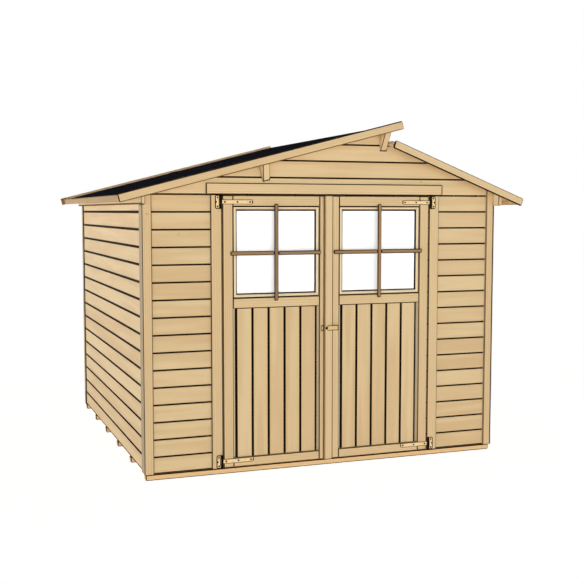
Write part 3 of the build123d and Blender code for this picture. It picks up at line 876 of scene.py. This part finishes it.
def make_door_boards(side, body):
    """Five upright boards between rebates painted grey as shade, with joints painted dark as
    shade all round them.
    """
    low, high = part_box(side + "_door_panel")
    margin = (high.x - low.x - DOOR_BOARDS * BOARD_PITCH) / 2
    boards, rebates = Joinery(), Joinery()
    for n in range(DOOR_BOARDS):
        section = board_section(high.y - low.y, DOOR_GAP, DOOR_TONGUE_DEPTH, n > 0,
                                n < DOOR_BOARDS - 1)
        start = Vector((low.x + margin + n * BOARD_PITCH, low.y, low.z + DOOR_END_GAP))
        board = cladding_board(start, UP, high.z - low.z - 2 * DOOR_END_GAP, DEEP, ACROSS,
                               section)
        boards.add(board, UP, ACROSS)
    boards.build(side + "_door_boards", body, (SPRUCE, ARRIS, DOOR_SHADOW),
                 (side + "_door_panel",))
    back = low.y + DOOR_TONGUE_DEPTH
    span = margin + DOOR_GAP / 2
    for x, inward in ((low.x, 1), (high.x, -1)):
        x0, x1 = sorted((x, x + inward * REBATE_WIDTH))
        rebate = bar((x0, low.y + REBATE_DEPTH, low.z), (x1, high.y, high.z))
        rebates.add(ease(rebate, REBATE_ARRIS), UP)
        x0, x1 = sorted((x + inward * REBATE_WIDTH, x + inward * span))
        rebates.add(bar((x0, back, low.z), (x1, high.y, high.z), JOINT), UP)
    for z0, z1 in ((low.z, low.z + DOOR_END_GAP), (high.z - DOOR_END_GAP, high.z)):
        rebates.add(bar((low.x + span, back, z0), (high.x - span, high.y, z1), JOINT), ACROSS)
    rebates.build(side + "_door_rebates", body, (RECESS_PAINTED_SHADE, ARRIS, DOOR_SHADOW))


# a bead's section, from the rail to the pane: (place across it, depth from its face, finish);
# its slope down to the pane takes the joints' painted shade
BEAD_SECTION = ((0, 4 * MM, CORNER), (6.5 * MM, 0, FACE), (15 * MM, 0, OTHER),
                (22 * MM, 4 * MM, JOINT), (28.5 * MM, 12 * MM, JOINT),
                (BEAD_WIDTH, 13 * MM, JOINT))


def make_beads(side, body):
    """Mitred beads with a splay towards the pane, on either side of it; the splay of the top
    bead, which looks down, is painted darker as shade."""
    low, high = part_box(side + "_door_beads")
    glass_low, glass_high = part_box(side + "_door_glass")
    beads = Joinery()
    for face, pane in ((low.y, glass_low.y), (high.y, glass_high.y)):
        inward = 1 if pane > face else -1
        depth = abs(pane - face)
        section = [(across, min(deep, depth), finish) for across, deep, finish in BEAD_SECTION]
        section += [(BEAD_WIDTH, depth, FACE), (0, depth, FACE)]
        for along, a0, a1, across, b0, b1 in (
                (ACROSS, low.x, high.x, UP, low.z, high.z),
                (UP, low.z, high.z, ACROSS, low.x, high.x)):
            for edge, aside in ((b0, 1), (b1, -1)):
                near, far = [], []
                for width, deep, finish in section:
                    point = across * (edge + aside * width) + DEEP * (face + inward * deep)
                    near.append(point + along * (a0 + width))
                    far.append(point + along * (a1 - width))
                is_top = across is UP and aside < 0
                beads.add(loft(near, far, [finish if is_top or finish != OTHER else FACE
                                           for width, deep, finish in section]), along)
    # the beads' faces take the painted light, and the top bead's splay the painted shade
    beads.build(side + "_window_beads", body, (PAINTED_LIGHT_SPRUCE, ARRIS, SHADOW, SPLAY_PAINTED_SHADE),
                (side + "_door_beads",))
    glass = frame["nodes"][side + "_door_glass"]
    glass.data.materials.clear()
    glass.data.materials.append(OPAL)


def make_glazing_bars(side, body):
    """Glazing bars, halved where they cross, on the face of the leaf."""
    low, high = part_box(side + "_door_beads")
    face_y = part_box(side + "_door_stiles")[0].y
    centre_x = (low.x + high.x) / 2 + BAR_OFFSET
    centre_z = (low.z + high.z) / 2 + BAR_RISE
    half = BAR_WIDTH / 2
    left_reach, right_reach = BAR_REACH[side]
    level = (centre_z - half, centre_z + half)
    bars = Joinery()
    for x0, x1, (z0, z1), along in (
            (centre_x - half, centre_x + half, (low.z + BEAD_WIDTH - BAR_LAP_DOWN,
                                                high.z - BEAD_WIDTH + BAR_LAP_UP), UP),
            (centre_x - left_reach, centre_x - half, level, ACROSS),
            (centre_x + half, centre_x + right_reach, level, ACROSS)):
        timber = bar((x0, face_y - BAR_THICKNESS, z0), (x1, face_y, z1))
        bars.add(ease(timber, BAR_ARRIS), along)
    bars.build(side + "_glazing_bars", body, (BAR_SPRUCE, ARRIS, SHADOW))


# ---- ironmongery --------------------------------------------------------------------------
def head(gathered, centre, radius, height, outward):
    """A low domed screw or nail head on a face that looks outward."""
    aside = outward.orthogonal().normalized()
    beside = outward.cross(aside)
    cap = bmesh.new()
    rings, steps = 3, 14
    last = [cap.verts.new(centre + outward * height)]
    for ring in range(1, rings + 1):
        angle = ring / rings * math.pi / 2
        out, over = radius * math.sin(angle), height * math.cos(angle)
        loop = [cap.verts.new(centre + outward * over
                              + aside * (out * math.cos(step * math.tau / steps))
                              + beside * (out * math.sin(step * math.tau / steps)))
                for step in range(steps)]
        for n in range(steps):
            after = (n + 1) % steps
            inner = [last[0]] if ring == 1 else [last[after], last[n]]
            cap.faces.new([loop[n], loop[after]] + inner)
        last = loop
    cap.faces.new(last)
    bmesh.ops.recalc_face_normals(cap, faces=cap.faces)
    gathered.add(cap, UP)


def rimmed_node(node, body, width, finishes, hinge_x=None):
    """A node's metalwork with a rim round its flat front faces, in place of the node; a
    strap's rim is wider at the tip, away from its hinge."""
    gathered = Joinery()
    for metal in parts_of(node):
        flats = [face for face in metal.faces
                 if face.normal.dot(-DEEP) > SQUARE_ON and face.calc_area() > METAL_FACE]
        for flat in flats:
            made = bmesh.ops.inset_region(metal, faces=[flat], thickness=width,
                                          use_even_offset=True, use_boundary=True)
            for face in made["faces"]:
                face.material_index = CORNER
            if hinge_x is not None:
                reach = max(abs(vert.co.x - hinge_x) for vert in flat.verts)
                tip = [vert for vert in flat.verts if abs(vert.co.x - hinge_x) > reach - MM]
                shift = math.copysign(TIP_RIM, hinge_x - tip[0].co.x)
                bmesh.ops.translate(metal, verts=tip, vec=ACROSS * shift)
            bmesh.ops.translate(metal, verts=flat.verts, vec=-DEEP * RIM_STEP)
        metal.normal_update()
        gathered.add(metal, UP)
    gathered.build(node + "_rimmed", body, finishes, (node,), "zinc_steel")


def fix_screws(name, body, spots, size):
    """The heads of screws, or of a rivet, on faces that look to the front."""
    screws = Joinery()
    for spot in spots:
        head(screws, Vector(spot), *size, -DEEP)
    screws.build(name, body, (SCREW_ZINC,), slot="zinc_steel")


def make_ironmongery():
    """Hinges and latch, with their screws and the rivet that the latch turns on."""
    for node, body, finish, edge, width, hinge_x in (
            ("hinge_plates", "shed", HINGE_ZINC, IRON_EDGE, PLATE_RIM, None),
            ("left_door_straps", "left_door", HINGE_ZINC, ARRIS, STRAP_RIM, left_hinge_x),
            ("right_door_straps", "right_door", HINGE_ZINC, ARRIS, STRAP_RIM, right_hinge_x),
            ("latch_bar", "right_door", LATCH_ZINC, ARRIS, LATCH_RIM, None),
            ("latch_keeper", "left_door", LATCH_ZINC, ARRIS, LATCH_RIM, None)):
        rimmed_node(node, body, width, (finish, edge), hinge_x)
    low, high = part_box("hinge_plates")
    levels = (low.z + PLATE_HALF_HEIGHT, high.z - PLATE_HALF_HEIGHT)
    face_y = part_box("left_door_stiles")[0].y - METAL_THICKNESS
    hinges = (("left", left_hinge_x, 1), ("right", right_hinge_x, -1))
    fix_screws("hinge_plate_screws", "shed",
               [(x - inward * aside, face_y, z + over) for side, x, inward in hinges
                for z in levels for aside, over in PLATE_SCREWS], SCREW_SIZE)
    for side, x, inward in hinges:
        fix_screws(side + "_strap_screws", side + "_door",
                   [(x + inward * aside, face_y, z) for z in levels for aside in STRAP_SCREWS],
                   SCREW_SIZE)
    low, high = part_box("latch_bar")
    strip_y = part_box("cover_strip")[0].y
    fix_screws("latch_rivets", "right_door", [(low.x, strip_y, (low.z + high.z) / 2)],
               RIVET_SIZE)
    low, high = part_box("latch_keeper")
    fix_screws("latch_keeper_screws", "left_door",
               [((low.x + high.x) / 2, low.y, z)
                for z in (low.z + KEEPER_SCREW_EDGE, high.z - KEEPER_SCREW_EDGE)],
               KEEPER_SCREW_SIZE)


make_walls()
make_frame()
make_floor()
make_roof()
for leaf_side in ("left", "right"):
    make_leaf(leaf_side)
eased_node("cover_strip", STRIP_ARRIS, TIMBER_FINISH + (SOFT_ARRIS,), paint_strip,
           first=(STRIP_BACK_ARRIS, ACROSS), body="right_door")
make_ironmongery()


# ---- studio -------------------------------------------------------------------------------
def make_studio():
    """A pale floor under a light tent, and the camera."""
    scene = bpy.context.scene
    scene.view_settings.view_transform = "Standard"
    mesh = bpy.data.meshes.new("studio_floor")
    corners = [(x * FLOOR_REACH, y * FLOOR_REACH, 0)
               for x, y in ((-1, -1), (1, -1), (1, 1), (-1, 1))]
    mesh.from_pydata(corners, [], [(0, 1, 2, 3)])
    mesh.materials.append(pale_floor("pale_studio_floor"))
    floor = bpy.data.objects.new("studio_floor", mesh)
    scene.collection.objects.link(floor)

    # a light tent: a bright band round the foot of its sides, dim overhead; the camera sees
    # it as plain white paper
    world = bpy.data.worlds.new("light_tent")
    world.use_nodes = True
    world.node_tree.nodes.clear()
    direction = add(world, "TexCoord").outputs["Generated"]
    height = add(world, "SeparateXYZ", links={"Vector": direction})
    glow = add(world, "MapRange", {"From Min": 0.05, "From Max": 0.22, "To Min": 4.6,
                                   "To Max": 0.2}, {"Value": height.outputs["Z"]},
               interpolation_type="SMOOTHSTEP")
    seen = add(world, "LightPath").outputs["Is Camera Ray"]
    strength = add(world, "Mix", {"B": 1.0}, {"Factor": seen, "A": glow.outputs["Result"]},
                   data_type="FLOAT")
    tent = add(world, "Background", {"Color": (1, 1, 1, 1)},
               {"Strength": strength.outputs["Result"]})
    add(world, "OutputWorld", links={"Surface": tent.outputs["Background"]})
    scene.world = world

    camera_data = bpy.data.cameras.new("view")
    camera_data.sensor_width = 36.0
    camera_data.lens = 60.85
    camera = bpy.data.objects.new("view", camera_data)
    camera.location = (-2.4907, -7.2722, 1.6927)
    camera.rotation_euler = tuple(math.radians(turn) for turn in (85.319, -0.015, -20.231))
    scene.collection.objects.link(camera)
    scene.camera = camera


make_studio()
